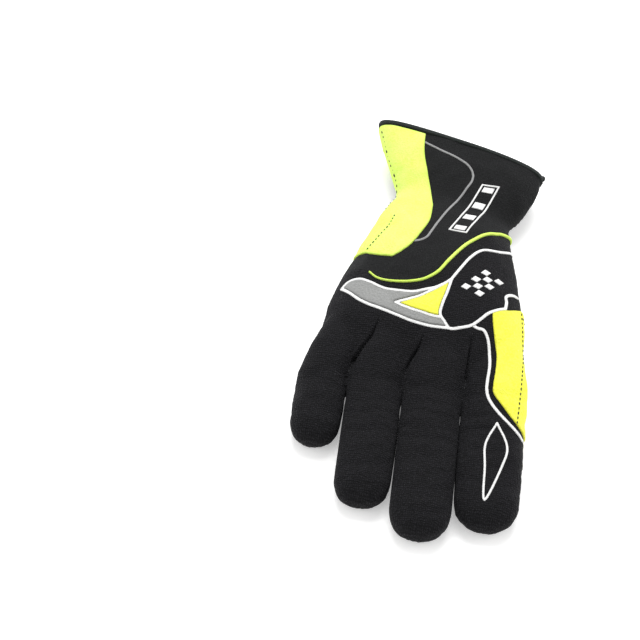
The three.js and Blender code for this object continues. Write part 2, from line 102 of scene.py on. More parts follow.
# y, width, shift, slant, top, base, droop, lift, seam: the palm and cuff as one tube
bodyRows = np.array([
    [hand * size["handLength"] + cuff * size["cuffLength"], width, shift * width, slant, top, base,
     droop * back, lift * back, seam]
    for hand, cuff, width, shift, slant, top, base, droop, lift, seam in [
        (0, 0, palmWidth * 0.96, -0.01, 0, back * 0.44, back * 0.015, 0.03, 0, 0.55),
        (0.14, 0, palmWidth, 0, 0, back * 0.7, under * 0.17, 0.09, 0, 0.5),
        (0.28, 0, palmWidth * 1.02, 0.002, 0, back * 0.89, under * 0.88, 0.18, 0, 0.4),
        (0.42, 0, palmWidth * 0.985, 0.005, -1, back * 0.98, under, 0.24, 0, 0.35),
        (0.58, 0, palmWidth * 0.89, 0.013, -2, back, under, 0.24, 0, 0.35),
        (0.78, 0, palmWidth * 0.75, 0.034, -5, back * 0.93, under * 0.92, 0.18, 0.03, 0.35),
        (0.91, 0, wristW * 1.06, 0.057, -7, wristH * 1.1, under * 0.45, 0.12, 0.06, 0.3),
        (1, 0, wristW, 0.079, -8.5, wristH, cuffZ * 1.2, 0.09, 0.09, 0.2),
        (1, 0.33, cuffW * 0.805, 0.073, -10, wristH * 1.08, cuffZ, 0.03, 0.09, 0.1),
        (1, 0.67, cuffW * 0.935, 0.045, -12, cuffH, cuffZ, -0.03, 0.075, 0.1),
        (1, 1, cuffW, 0.028, -13, cuffH, cuffZ, -0.07, 0.08, 0.1),
    ]
])
lastRow = len(bodyRows) - 1
cuffSlant = math.radians(bodyRows[lastRow][3])
# Millimetres from the cuff's edge that one row stands for, near that edge.
edgeRowLength = 13.33
# The sides of a ring that fine pieces are placed by.
fineSides = 240

# behind, forward, wide, high: a finger's tube
fingerRows = np.array([
    [1, 0, 0.7, 1.3], [0.75, 0, 0.84, 1.3], [0.5, 0, 0.94, 1.28], [0.25, 0, 0.995, 1.23], [0, 0, 1.012, 1.18],
    [0, 0.33, 1.024, 1.1], [0, 0.67, 1.024, 1.04], [0, 1, 0.992, 0.98],
])

# across, along, height, wide, high: the thumb's middle line
thumbRows = np.array([
    [0.5, 0.86, under * 1.3, 0.9, 0.9], [0.44, 0.74, under * 0.98, 1, 1],
    [0.22, 0.59, size["thumbHeight"] * 0.53, 1, 1], [-0.08, 0.45, size["thumbHeight"] * 0.475, 0.98, 1],
    [-0.34, 0.335, size["thumbHeight"] * 0.455, 0.9, 0.94],
])


# Rows of a table on a smooth curve through them, at places counted in rows.
def rowsAt(rows, places):
    places = np.atleast_1d(places)
    last = len(rows) - 1
    i = np.minimum(np.floor(places).astype(int), last - 1)
    t = (places - i)[:, None]
    a, b, c, d = (rows[np.clip(i + step, 0, last)] for step in (-1, 0, 1, 2))
    return b + 0.5 * t * (c - a + t * (2 * a - 5 * b + 4 * c - d + t * (3 * (b - c) + d - a)))


fineBody = rowsAt(bodyRows, np.linspace(0, lastRow, 801))


def bodyAt(y):
    return [np.interp(y, fineBody[:, 0], fineBody[:, k]) for k in range(1, 9)]


# A plan point, from shares of the half width and of the length.
def onBody(across, along):
    y = np.asarray(along) * bodyLength
    width, centre, slant = bodyAt(y)[:3]
    reach = np.asarray(across) * width / 2
    return np.stack([centre + reach * np.cos(np.radians(slant)), y + reach * np.sin(np.radians(slant))], -1)


def archAt(across, droop, lift):
    share = np.clip(across, -1, 1)
    return lift * np.maximum(0, -share) ** 2 - droop * share ** 4


def oval(sides):
    angle = np.arange(sides) * 2 * math.pi / sides
    across, up = np.cos(angle), np.sin(angle)
    return (np.sign(across) * np.abs(across) ** (2 / size["squareAcross"]),
            np.sign(up) * np.abs(up) ** (2 / size["squareUp"]))


# One ring of the palm's and cuff's tube, grown by an offset. past carries it on beyond the cuff's edge.
def bodyRing(place, offset=0.0, sides=120, past=0.0):
    y, width, centre, slant, top, base, droop, lift, seam = rowsAt(bodyRows, place)[0]
    across, up = oval(sides)
    slant = math.radians(slant)
    half, rise = width / 2 + offset, (top - base) / 2 + offset
    onward = (-math.sin(cuffSlant) * past, math.cos(cuffSlant) * past)
    z = (top + base) / 2 + rise * up + archAt(across, droop, lift)
    return np.stack([centre + half * across * math.cos(slant) + onward[0],
                     y + half * across * math.sin(slant) + onward[1], np.maximum(z, skinSetup["lowestRing"])], -1)


# Points and faces of a closed tube over rings.
def tube(rings):
    sides, count = len(rings[0]), len(rings)
    points = np.concatenate([*rings, rings[0].mean(0)[None], rings[-1].mean(0)[None]])
    faces = []
    for r in range(count - 1):
        for k in range(sides):
            a, b = r * sides + k, r * sides + (k + 1) % sides
            faces.append((a, a + sides, b + sides, b))
    for k in range(sides):
        faces.append((count * sides, k, (k + 1) % sides))
        faces.append((count * sides + 1, (count - 1) * sides + (k + 1) % sides, (count - 1) * sides + k))
    return points, faces


# A tube with a rounded tip over stations of x, y, heading x, heading y, half width, middle height, rise.
def tipped(stations, sides=64):
    rows = [tuple(s) for s in stations]
    x, y, hx, hy, half, middle, rise = rows[-1]
    for angle in np.radians(np.append(np.arange(7.5, 88, 7.5), 89)):
        shrink = math.cos(angle) ** 0.7
        reach = 2 * half * size["tipShare"] * math.sin(angle)
        rows.append((x + hx * reach, y + hy * reach, hx, hy, half * shrink,
                     middle - (1 - shrink) * rise * 0.3, rise * shrink))
    across, up = oval(sides)
    return tube([np.stack([x - half * across * hy, y + half * across * hx,
                           np.maximum(middle + rise * up, 0.0)], -1)
                 for x, y, hx, hy, half, middle, rise in rows])


def fingerLines():
    reach = size["handLength"] * 0.29
    width, centre, slant, top, base, droop, lift, seam = (float(v) for v in bodyAt(reach))
    edge, lines = bodyRows[0][2] - fingerSpan / 2, []
    for wide, length in zip(size["fingerWidths"], size["fingerLengths"]):
        crotch = np.array([edge + wide / 2, 0.0])
        edge += wide + size["fingerGap"]
        rootAt = np.array([crotch[0] * 0.88 + 0.018 * palmWidth, reach])
        across = (rootAt[0] - centre) / (width / 2)
        thick = (top - base) * (1 - abs(across) ** size["squareAcross"]) ** (1 / size["squareUp"])
        middle = (top + base) / 2 + float(archAt(across, droop, lift))
        stations = []
        for behind, forward, w, h in rowsAt(fingerRows, np.linspace(0, 7, 57)):
            behind, forward = min(max(behind, 0), 1), max(forward, 0)
            high = behind ** 0.8
            upper = (1 - high) * size["fingerHeight"] * h + high * (middle + thick / 2 - 0.07 * back)
            lower = -(1 - behind) * 0.05 * size["fingerHeight"] + behind * (middle - thick / 2 + 0.07 * back)
            at = crotch * (1 - behind) + rootAt * behind + heading * (length - wide * size["tipShare"]) * forward
            half = wide * w / 2 + (1 - behind) * size["fingerGap"] * 0.42
            stations.append((*at, *heading, half, (upper + lower) / 2, (upper - lower) / 2))
        lines.append(np.array(stations))
    return lines


def thumbLine():
    rows = rowsAt(thumbRows, np.linspace(0, 4, 41))
    at = onBody(rows[:, 0], rows[:, 1] * size["handLength"] / bodyLength)
    along = np.gradient(at, axis=0)
    along /= np.linalg.norm(along, axis=1)[:, None]
    return np.column_stack([at, along, size["thumbWidth"] * rows[:, 3] / 2, rows[:, 2],
                            size["thumbHeight"] * rows[:, 4] / 2])


fingers = fingerLines()
thumb = thumbLine()
# Each finger's line has its crotch at this station, and its x and half width at these places.
crotchStation, atX, atHalf = 28, 0, 4
roots = [line[crotchStation] for line in fingers]
crotches = np.array([(one[atX] + one[atHalf] + other[atX] - other[atHalf]) / 2
                     for one, other in zip(roots[:-1], roots[1:])])
spreads = (np.arange(4) - 1.5) * skinSetup["spread"]


def spreadShare(y):
    t = np.clip(-y / skinSetup["spreadOver"], 0, 1)
    return t * t * (3 - 2 * t)


# How far a spread glove's points have to go back to bring the fingers together.
def spreadBack(x, y):
    share = spreadShare(y)
    shift = spreads[0] * share
    for k in range(3):
        middle = crotches[k] - y * math.tan(lean)
        left = middle - skinSetup["halfGap"] + spreads[k] * share
        right = middle + skinSetup["halfGap"] + spreads[k + 1] * share
        shift = shift + np.clip((x - left) / (right - left), 0, 1) * (spreads[k + 1] - spreads[k]) * share
    return shift


def meshObject(name, points, faces):
    mesh = bpy.data.meshes.new(name)
    mesh.from_pydata(np.asarray(points).tolist(), [], [list(map(int, f)) for f in faces])
    mesh.update()
    made = bpy.data.objects.new(name, mesh)
    bpy.context.collection.objects.link(made)
    return made


# Points and triangles of an object's mesh.
def arraysOf(mesh):
    points = np.empty(len(mesh.vertices) * 3)
    mesh.vertices.foreach_get("co", points)
    mesh.calc_loop_triangles()
    triangles = np.empty(len(mesh.loop_triangles) * 3, dtype=np.int32)
    mesh.loop_triangles.foreach_get("vertices", triangles)
    return points.reshape(-1, 3), triangles.reshape(-1, 3)


# One skin over several tubes. The tubes come in millimetres.
def united(tubes, voxel):
    points, faces, start = [], [], 0
    for some, rings in tubes:
        points.append(some)
        faces += [[v + start for v in face] for face in rings]
        start += len(some)
    made = meshObject("united", np.concatenate(points) * mm, faces)
    remesh = made.modifiers.new("voxels", "REMESH")
    remesh.mode = "VOXEL"
    remesh.voxel_size = voxel * mm
    result = made.evaluated_get(bpy.context.evaluated_depsgraph_get()).to_mesh()
    arrays = arraysOf(result)
    bpy.data.objects.remove(made)
    return arrays[0] / mm, arrays[1]


def edgesOf(triangles):
    pairs = np.sort(np.concatenate([triangles[:, [0, 1]], triangles[:, [1, 2]], triangles[:, [2, 0]]]), axis=1)
    return np.unique(pairs, axis=0)


def neighbourMean(points, edges):
    total = np.stack([np.bincount(edges[:, 0], points[edges[:, 1], k], len(points))
                      + np.bincount(edges[:, 1], points[edges[:, 0], k], len(points)) for k in range(3)], 1)
    return total / np.maximum(np.bincount(edges.ravel(), minlength=len(points)), 1)[:, None]


# Evens out the steps that voxels leave. Each round shrinks the form a little and grows it again.
def smoothed(points, triangles, rounds):
    edges = edgesOf(triangles)
    for step in (0.55, -0.57) * rounds:
        points = points + step * (neighbourMean(points, edges) - points)
    return points


# Evens out a part of the skin. Each point's share says by how much.
def relaxed(points, triangles, shares, rounds):
    edges = edgesOf(triangles)
    for i in range(rounds):
        points = points + (neighbourMean(points, edges) - points) * (0.5 * shares)[:, None]
    return points


def normalsOf(points, triangles):
    a, b, c = (points[triangles[:, k]] for k in range(3))
    flat = np.cross(b - a, c - a)
    total = np.zeros_like(points)
    for k in range(3):
        for axis in range(3):
            total[:, axis] += np.bincount(triangles[:, k], flat[:, axis], len(points))
    return total / np.maximum(np.linalg.norm(total, axis=1), 1e-12)[:, None]


def noiseAt(points, scale, seed=0.0):
    stretch = np.asarray(scale, dtype=float) * np.ones(3)
    return np.array([noise.noise(Vector((p[0] / stretch[0] + seed, p[1] / stretch[1] - seed,
                                         p[2] / stretch[2] + 2 * seed))) for p in points])


# A smooth run of plan points through control points.
def curve(points, steps=10):
    points = np.asarray(points, dtype=float)
    places = np.linspace(0, len(points) - 1, (len(points) - 1) * steps + 1)
    return rowsAt(points, places)


def bodyCurve(shares, steps=10):
    shares = np.asarray(shares, dtype=float)
    return curve(onBody(shares[:, 0], shares[:, 1]), steps)


# Distance in plan to a run of points, and the place of the nearest point as a share of the run.
def distanceTo(run, points):
    best = np.full(len(points), 1e9)
    share = np.zeros(len(points))
    lengths = np.append(0, np.cumsum(np.linalg.norm(np.diff(run, axis=0), axis=1)))
    near = ((points[:, :2] > run.min(0) - 12) & (points[:, :2] < run.max(0) + 12)).all(1)
    some = points[near, :2]
    bestSome, shareSome = best[near], share[near]
    for i in range(len(run) - 1):
        a, along = run[i], run[i + 1] - run[i]
        t = np.clip(((some - a) @ along) / max(along @ along, 1e-9), 0, 1)
        d = np.hypot(*(some - a - t[:, None] * along).T)
        closer = d < bestSome
        bestSome[closer] = d[closer]
        shareSome[closer] = (lengths[i] + t[closer] * (lengths[i + 1] - lengths[i])) / lengths[-1]
    best[near], share[near] = bestSome, shareSome
    return best, share


# Distance in plan to the edge of a closed area: more than 0 inside.
def insideOf(run, points):
    closed = np.vstack([run, run[:1]])
    distance, share = distanceTo(closed, points)
    x, y = points[:, 0], points[:, 1]
    inside = np.zeros(len(points), dtype=bool)
    for (ax, ay), (bx, by) in zip(closed[:-1], closed[1:]):
        if ay == by:
            continue
        crossing = ((ay > y) != (by > y)) & (x < (bx - ax) * (y - ay) / (by - ay) + ax)
        inside ^= crossing
    return np.where(inside, distance, -distance)


# Height over the sheet that the side seams lie in.
def overSeam(points):
    x, y = points[:, 0], points[:, 1]
    level = y.copy()
    for i in range(4):
        width, centre, slant, top, base, droop, lift, seam = bodyAt(np.maximum(level, 0))
        level = y - (x - centre) * np.tan(np.radians(slant))
    across = (x - centre) / (width / 2 * np.cos(np.radians(slant)))
    sheet = (top + base) / 2 - seam * (top - base) / 2 + archAt(across, droop, lift)
    blend = np.clip(-y / 8, 0, 1)
    return points[:, 2] - (sheet * (1 - blend) + 0.22 * size["fingerHeight"] * blend)


# Splits triangles along the line where a value is 0. Returns points and triangles; nothing is dropped.
def cutAlong(points, triangles, value):
    value = np.where(np.abs(value) < 0.04, 0.0, value)
    sign = np.sign(value[triangles])
    crossing = (sign.max(1) > 0) & (sign.min(1) < 0)
    kept = [triangles[~crossing]]
    added, edges, fresh = [], {}, []

    def between(a, b):
        key = (a, b) if a < b else (b, a)
        if key not in edges:
            t = value[key[0]] / (value[key[0]] - value[key[1]])
            edges[key] = len(points) + len(added)
            added.append(points[key[0]] * (1 - t) + points[key[1]] * t)
        return edges[key]

    for a, b, c in triangles[crossing].tolist():
        va, vb, vc = value[a], value[b], value[c]
        if va == 0 or vb == 0 or vc == 0:
            while value[a] != 0:
                a, b, c = b, c, a
            m = between(b, c)
            fresh += [(a, b, m), (a, m, c)]
        else:
            while (value[a] > 0) == (value[b] > 0) or (value[a] > 0) == (value[c] > 0):
                a, b, c = b, c, a
            m, n = between(a, b), between(a, c)
            fresh += [(a, m, n), (m, b, c), (m, c, n)]
    if fresh:
        points = np.vstack([points, added]) if added else points
        kept.append(np.array(fresh, dtype=np.int32))
    return points, np.concatenate(kept)


# Keeps the triangles that a test picks, without the points that they leave behind.
def kept(points, triangles, test):
    triangles = triangles[test]
    used = np.unique(triangles)
    renumbered = np.full(len(points), -1, dtype=np.int32)
    renumbered[used] = np.arange(len(used))
    return points[used], renumbered[triangles]


def part(points, triangles, field, inside=True):
    points, triangles = cutAlong(points, triangles, field(points))
    mean = field(points)[triangles].mean(1)
    return kept(points, triangles, mean > 0 if inside else mean <= 0)


# Splits the picked triangles in four, and their neighbours so that no crack opens.
def refined(points, triangles, picked=None):
    edges = edgesOf(triangles if picked is None else triangles[picked])
    number = {tuple(e): len(points) + i for i, e in enumerate(edges.tolist())}
    middle = (points[edges[:, 0]] + points[edges[:, 1]]) / 2
    fresh = []
    for a, b, c in triangles.tolist():
        ab, bc, ca = (number.get((p, q) if p < q else (q, p)) for p, q in ((a, b), (b, c), (c, a)))
        split = sum(m is not None for m in (ab, bc, ca))
        if split == 0:
            fresh.append((a, b, c))
            continue
        if split == 3:
            fresh += [(a, ab, ca), (ab, b, bc), (ca, bc, c), (ab, bc, ca)]
            continue
        while ab is None or (split == 2 and bc is None):
            a, b, c, ab, bc, ca = b, c, a, bc, ca, ab
        fresh += [(a, ab, c), (ab, b, c)] if split == 1 else [(ab, b, bc), (a, ab, bc), (a, bc, c)]
    return np.vstack([points, middle]), np.array(fresh, dtype=np.int32)


# Triangles turned round if the highest point's normal looks down.
def facingOut(points, triangles):
    highest = points[:, 2].argmax()
    return triangles[:, ::-1] if normalsOf(points, triangles)[highest][2] < 0 else triangles


print("skin")
rings = [bodyRing(p) for p in np.linspace(0, lastRow, 101)] + [bodyRing(lastRow, past=skinSetup["overrun"])]
bodyTubes = [tube(rings)]
for k, line in enumerate(fingers):
    points, faces = tipped(line)
    points[:, 0] += spreads[k] * spreadShare(points[:, 1])
    bodyTubes.append((points, faces))
skinPoints, skinTriangles = united(bodyTubes, skinSetup["voxel"])
skinPoints = smoothed(skinPoints, skinTriangles, skinSetup["smoothing"])
skinPoints[:, 0] -= spreadBack(skinPoints[:, 0], skinPoints[:, 1])
skinTriangles = facingOut(skinPoints, skinTriangles)
print("skin points", len(skinPoints), "triangles", len(skinTriangles))

# Lines on the back of the glove: the darts in millimetres, the rest in shares of the half width and the length.
darts = [curve(run) for run in (
    [(-22, 31), (-23, 28), (-25, 22), (-29, 15), (-32.5, 8), (-34, 0), (-34.3, -5)],
    [(2, 27), (1, 23), (-1, 17), (-4, 10), (-5, 1), (-5.2, -5)],
    [(26, 31), (26, 28), (26, 20), (26, 11), (26, 0), (25.8, -5)],
)]
pipingLine = bodyCurve([
    (-0.67, 0.351), (-0.57, 0.329), (-0.44, 0.32), (-0.32, 0.321), (-0.2, 0.33), (-0.07, 0.349), (0.04, 0.38),
    (0.13, 0.431), (0.23, 0.484), (0.34, 0.53), (0.5, 0.579), (0.69, 0.621), (0.85, 0.656), (1.1, 0.7),
])
cuffBackArea = np.vstack([onBody([-1.8, -1], [0.4, 0.38]), pipingLine, onBody([1.8, 1.8, -1.8], [0.62, 1.4, 1.4])])
cuffPalmArea = onBody([-1.8, 1.8, 1.8, -1.8], [0.68, 0.68, 1.4, 1.4])


def pastCuffEdge(inset):
    inward = np.array([math.sin(cuffSlant), -math.cos(cuffSlant)])
    edge = np.array([bodyRows[lastRow][2], bodyRows[lastRow][0]])
    return lambda points: (points[:, :2] - edge) @ inward - inset


# Depths and widths in millimetres. joints: place along a finger, and share of the depth.
foldSetup = {
    "dartDepth": 2.6, "dartWidth": 0.6, "valleyDepth": 0.7, "valleyWidth": 2.8, "lip": 0.35,
    "lipAt": 1.7, "lipWidth": 0.8, "seamDepth": 0.5, "seamWidth": 0.8, "lump": 0.95, "fold": 0.42,
    "joint": 0.35, "jointWidth": 1.5, "jointWander": 2.6, "gather": 0.8, "gatherAt": 122, "gatherReach": 16,
    "joints": [(0.3, 0.7), (0.42, 1.0), (0.5, 0.55), (0.93, 0.5)],
    "crotchRounds": 14, "floor": 0.1,
}


# Pushes the skin in along its seams, and gives it folds and lumps. It stays as it is near the finger gaps.
def sculpted(points, triangles):
    normal = normalsOf(points, triangles)
    push = np.zeros(len(points))
    upper = np.clip(normal[:, 2] * 2.2 - 0.4, 0, 1)
    setup = foldSetup

    def ridge(distance, width):
        return np.exp(-(distance / width) ** 2)

    for run in darts:
        distance, share = distanceTo(run, points)
        fade = np.clip(share * 3, 0, 1) * np.clip((1 - share) * 5, 0.25, 1) * upper
        push -= setup["dartDepth"] * fade * ridge(distance, setup["dartWidth"])
        push -= setup["valleyDepth"] * fade * ridge(distance, setup["valleyWidth"])
        push += setup["lip"] * fade * ridge(distance - setup["lipAt"], setup["lipWidth"])
    for line, width in zip(fingers, size["fingerWidths"]):
        onward = points[:, :2] - line[crotchStation][:2]
        along = onward @ heading
        beside = np.abs(onward @ np.array([-heading[1], heading[0]])) < width / 2 + 1
        wander = noiseAt(points, (14, 30, 30), width) * setup["jointWander"]
        for place, depth in setup["joints"]:
            at = place * (line[-1] - line[crotchStation])[1] / heading[1]
            push -= (setup["joint"] * depth * upper * beside
                     * ridge(along - at + wander * (1 + place), setup["jointWidth"]))
    push -= setup["seamDepth"] * ridge(overSeam(points), setup["seamWidth"])
    onFinger = np.clip((14 - points[:, 1]) / 30, 0, 1)
    push += setup["lump"] * noiseAt(points, 19, 3.1) * (0.5 + 0.5 * upper)
    push += setup["lump"] * 0.45 * noiseAt(points, 7.5, 8.7)
    push += setup["fold"] * noiseAt(points, (15, 4.2, 12), 5.5) * onFinger
    push += setup["fold"] * 0.5 * noiseAt(points, (3.2, 2.2, 3), 1.5) * onFinger
    atWrist = ridge(points[:, 1] - setup["gatherAt"], setup["gatherReach"])
    atWrist = atWrist * np.clip(-normal[:, 2] * 2 + 0.6, 0.15, 1)
    push += setup["gather"] * noiseAt(points, (3.6, 22, 30), 2.2) * atWrist
    gap = np.min([np.abs(points[:, 0] - x + points[:, 1] * math.tan(lean)) for x in crotches], axis=0)
    calm = np.clip((gap - 0.4) / 1.8, 0, 1)
    calm = calm + (1 - calm) * np.clip((points[:, 1] - 3) / 8, 0, 1)
    points = points + normal * (push * calm)[:, None]
    atCrotch = np.clip(3.2 - gap, 0, 1) * np.clip((points[:, 1] + 16) / 4, 0, 1)
    atCrotch = atCrotch * np.clip((10 - points[:, 1]) / 3, 0, 1)
    points = relaxed(points, triangles, atCrotch, setup["crotchRounds"])
    points[:, 2] = np.maximum(points[:, 2], setup["floor"])
    return points


# Finer triangles beside the darts, where the skin bends most.
for reach in (4.5, 2.2):
    centres = skinPoints[skinTriangles].mean(1)
    near = np.min([distanceTo(run, centres)[0] for run in darts], axis=0) < reach
    skinPoints, skinTriangles = refined(skinPoints, skinTriangles, near & (centres[:, 2] > 9))
skinPoints = sculpted(skinPoints, skinTriangles)
skinPoints, skinTriangles = part(skinPoints, skinTriangles, pastCuffEdge(0))
skinNormals = normalsOf(skinPoints, skinTriangles)
skinTree = BVHTree.FromPolygons(skinPoints.tolist(), skinTriangles.tolist())
print("skin cut at the cuff", len(skinTriangles))
topPoints, topTriangles = part(skinPoints, skinTriangles, overSeam)
lowPoints, lowTriangles = part(skinPoints, skinTriangles, overSeam, False)


def skinNormalAt(points):
    found = [skinTree.find_nearest(Vector(p)) for p in points.tolist()]
    corners = skinTriangles[[f[2] for f in found]]
    at = np.array([f[0] for f in found])
    away = np.stack([np.linalg.norm(skinPoints[corners[:, k]] - at, axis=1) for k in range(3)], 1)
    weight = 1 / (away + 0.05)
    mixed = (skinNormals[corners] * weight[:, :, None]).sum(1)
    return mixed / np.linalg.norm(mixed, axis=1)[:, None]


# Moves a finished mesh into the part's frame, in metres, gives it its material, body and attributes, and hides the
# model's parts that it stands for.
def finished(name, points, triangles, material, slotName, nodes=(), attributes=None):
    made = meshObject(name, (points + np.array(size["inRow"])) * mm, triangles)
    made.data.materials.append(material)
    made.data.shade_smooth()
    for key, values in (attributes or {}).items():
        layer = made.data.attributes.new(key, "FLOAT", "POINT")
        layer.data.foreach_set("value", np.asarray(values, dtype=np.float32))
    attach(made, root)
    if nodes:
        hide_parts(*nodes)
    return made


def boundaryEdges(triangles):
    directed = np.concatenate([triangles[:, [0, 1]], triangles[:, [1, 2]], triangles[:, [2, 0]]])
    both = {tuple(e) for e in directed.tolist()}
    return [(a, b) for a, b in directed.tolist() if (b, a) not in both]


# A panel with a wall: the outer skin, an inner one, and the rim between them.
def walled(points, triangles, outer, inner):
    normal = skinNormalAt(points)
    outside, inside = points + normal * outer[:, None], points + normal * inner[:, None]
    if inner.max() < -0.5:
        inside[:, 2] = np.maximum(inside[:, 2], skinSetup["lowestLining"])
    count = len(points)
    rim = []
    for a, b in boundaryEdges(triangles):
        rim += [(b, a, a + count), (b, a + count, b + count)]
    faces = np.concatenate([triangles, triangles[:, ::-1] + count, np.array(rim, dtype=np.int32).reshape(-1, 3)])
    return np.vstack([outside, inside]), faces


# Node trees

# Gives a node's inputs their values, or links to them.
def setInputs(tree, node, inputs):
    for key, value in inputs.items():
        if isinstance(value, bpy.types.NodeSocket):
            tree.links.new(value, node.inputs[key])
        else:
            node.inputs[key].default_value = value


def addNode(tree, kind, inputs=None, **settings):
    node = tree.nodes.new(kind)
    for key, value in settings.items():
        setattr(node, key, value)
    setInputs(tree, node, inputs or {})
    return node


def mathNode(tree, operation, *values, clamp=False):
    node = addNode(tree, "ShaderNodeMath", dict(enumerate(values)), operation=operation, use_clamp=clamp)
    return node.outputs[0]


# A node group. Its inputs come as a default number or the name of a socket's kind.
def newGroup(name, kind, inputs, outputs):
    tree = bpy.data.node_groups.new(name, kind)
    for label, default in inputs.items():
        number = not isinstance(default, str)
        socket = tree.interface.new_socket(label, in_out="INPUT",
                                           socket_type="NodeSocket" + ("Float" if number else default))
        if number:
            socket.default_value = default
    for label, socketKind in outputs.items():
        tree.interface.new_socket(label, in_out="OUTPUT", socket_type="NodeSocket" + socketKind)
    return tree, tree.nodes.new("NodeGroupInput").outputs, tree.nodes.new("NodeGroupOutput")


# Crossed ribs of yarn with broken places. Size is the width of one yarn in metres.
def yarnGroup():
    tree, given, out = newGroup("yarn", "ShaderNodeTree", {"Vector": "Vector", "Size": 0.0007, "Break": 0.5},
                                {"Height": "Float", "Gap": "Float"})
    scale = mathNode(tree, "DIVIDE", 1.0, given["Size"])
    place = addNode(tree, "ShaderNodeVectorMath", {0: given["Vector"], "Scale": scale},
                    operation="SCALE").outputs[0]
    warp = addNode(tree, "ShaderNodeTexNoise", {"Scale": 0.35, "Detail": 2, "Vector": place})
    bent = addNode(tree, "ShaderNodeVectorMath", {0: warp.outputs["Color"], 1: (2.2, 2.2, 2.2), 2: place},
                   operation="MULTIPLY_ADD").outputs[0]
    heights = [addNode(tree, "ShaderNodeTexWave", {"Scale": 0.31, "Distortion": 0.6, "Vector": bent},
                       bands_direction=axis).outputs["Fac"] for axis in ("X", "Y")]
    both = mathNode(tree, "MULTIPLY", *heights)
    fuzz = addNode(tree, "ShaderNodeTexNoise", {"Scale": 1.3, "Detail": 3, "Vector": place})
    broken = mathNode(tree, "MULTIPLY", fuzz.outputs["Fac"], given["Break"])
    setInputs(tree, out, {"Height": mathNode(tree, "ADD", both, broken),
                          "Gap": mathNode(tree, "SUBTRACT", 1.0, both, clamp=True)})
    return tree


# Soft marks and worn places of two sizes, from 0 to 1.
def wearGroup():
    tree, given, out = newGroup("wear", "ShaderNodeTree", {"Vector": "Vector", "Size": 0.012, "Fine": 0.0012},
                                {"Patch": "Float", "Speck": "Float"})
    for label, source, detail in (("Patch", "Size", 4), ("Speck", "Fine", 2)):
        scale = mathNode(tree, "DIVIDE", 1.0, given[source])
        texture = addNode(tree, "ShaderNodeTexNoise", {
            "Detail": detail, "Scale": scale, "Vector": given["Vector"]})
        steeper = mathNode(tree, "MULTIPLY_ADD", texture.outputs["Fac"], 2.4, -0.7, clamp=True)
        setInputs(tree, out, {label: steeper})
    return tree


yarn, wear = yarnGroup(), wearGroup()


# A cloth or print: layers of colour over each other by masks, yarn that gives the bump, and plain values on the
# shader's own sockets.
def cloth(name, values):
    material = bpy.data.materials.new(name)
    material.use_nodes = True
    tree = material.node_tree
    place = tree.nodes.new("ShaderNodeTexCoord").outputs["Object"]
    thread = addNode(tree, "ShaderNodeGroup", node_tree=yarn)
    setInputs(tree, thread, {"Size": values["yarn"], "Break": values["fuzz"], "Vector": place})
    worn = addNode(tree, "ShaderNodeGroup", node_tree=wear)
    setInputs(tree, worn, {"Size": values["patch"], "Fine": values["speck"], "Vector": place})
    layers = [(worn.outputs["Patch"], "patchShare", "worn"), (worn.outputs["Speck"], "speckShare", "light"),
              (thread.outputs["Gap"], "gapShare", "dark")]
    if values["rim"]:
        rim = addNode(tree, "ShaderNodeAttribute", attribute_name="rim")
        layers.append((rim.outputs["Fac"], "rim", "dark"))
    colour = (*values["colour"], 1)
    for mask, share, over in layers:
        factor = mathNode(tree, "MULTIPLY", mask, values[share])
        mix = addNode(tree, "ShaderNodeMix", data_type="RGBA", clamp_factor=True)
        setInputs(tree, mix, {0: factor, 6: colour, 7: (*values[over], 1)})
        colour = mix.outputs[2]
    bump = addNode(tree, "ShaderNodeBump", {
        "Strength": values["bump"], "Distance": values["bumpHeight"], "Height": thread.outputs["Height"]})
    broad = addNode(tree, "ShaderNodeBump", {
        "Strength": values["broad"], "Distance": values["broadHeight"], "Height": worn.outputs["Speck"],
        "Normal": bump.outputs["Normal"]})
    setInputs(tree, tree.nodes["Principled BSDF"], {
        "Base Color": colour,
        "Roughness": mathNode(tree, "MULTIPLY_ADD", worn.outputs["Speck"], values["roughSpan"], values["rough"],
                              clamp=True),
        "Normal": broad.outputs["Normal"],
        "Sheen Weight": values["sheen"],
        "Sheen Roughness": 0.5,
        "Sheen Tint": (*values["sheenTint"], 1),
        "Specular IOR Level": values["specular"],
    })
    material.diffuse_color = (*values["colour"], 1)
    return material


